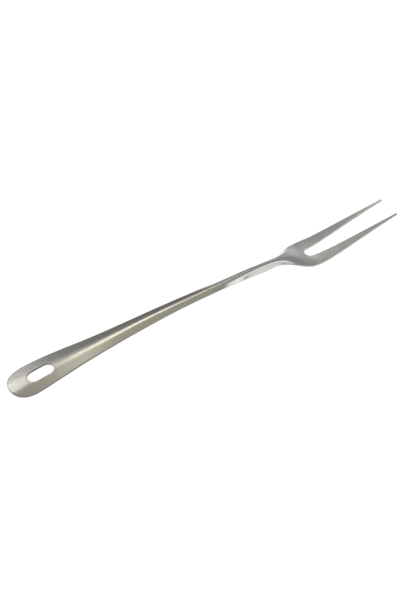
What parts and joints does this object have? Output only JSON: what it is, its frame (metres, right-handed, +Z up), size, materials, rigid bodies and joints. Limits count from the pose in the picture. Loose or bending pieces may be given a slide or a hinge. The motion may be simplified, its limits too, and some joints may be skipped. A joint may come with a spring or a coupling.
{
  "type": "two-tine cooking fork",
  "caption": "Long cooking and roasting fork pressed from one stainless sheet: roof-section handle with a hanging slot, arched neck, slim pointed tines with a round-rooted gap.",
  "frame": {"origin": "under the middle of the fork, on the surface that it rests on: the centre of the bounding box in X and Y, and its lowest level in Z", "axes": "+X from the handle end to the tine tips, +Z up from the resting surface, +Y to the side; the fork is its own mirror image across the XZ plane"},
  "size_m": [0.33, 0.0288, 0.0122],
  "materials": {
    "satin_steel": "satin brushed stainless steel, fine crosswise brushing, warm grey"
  },
  "bodies": {
    "root": {"fork": "satin_steel"}
  },
  "joints": []
}
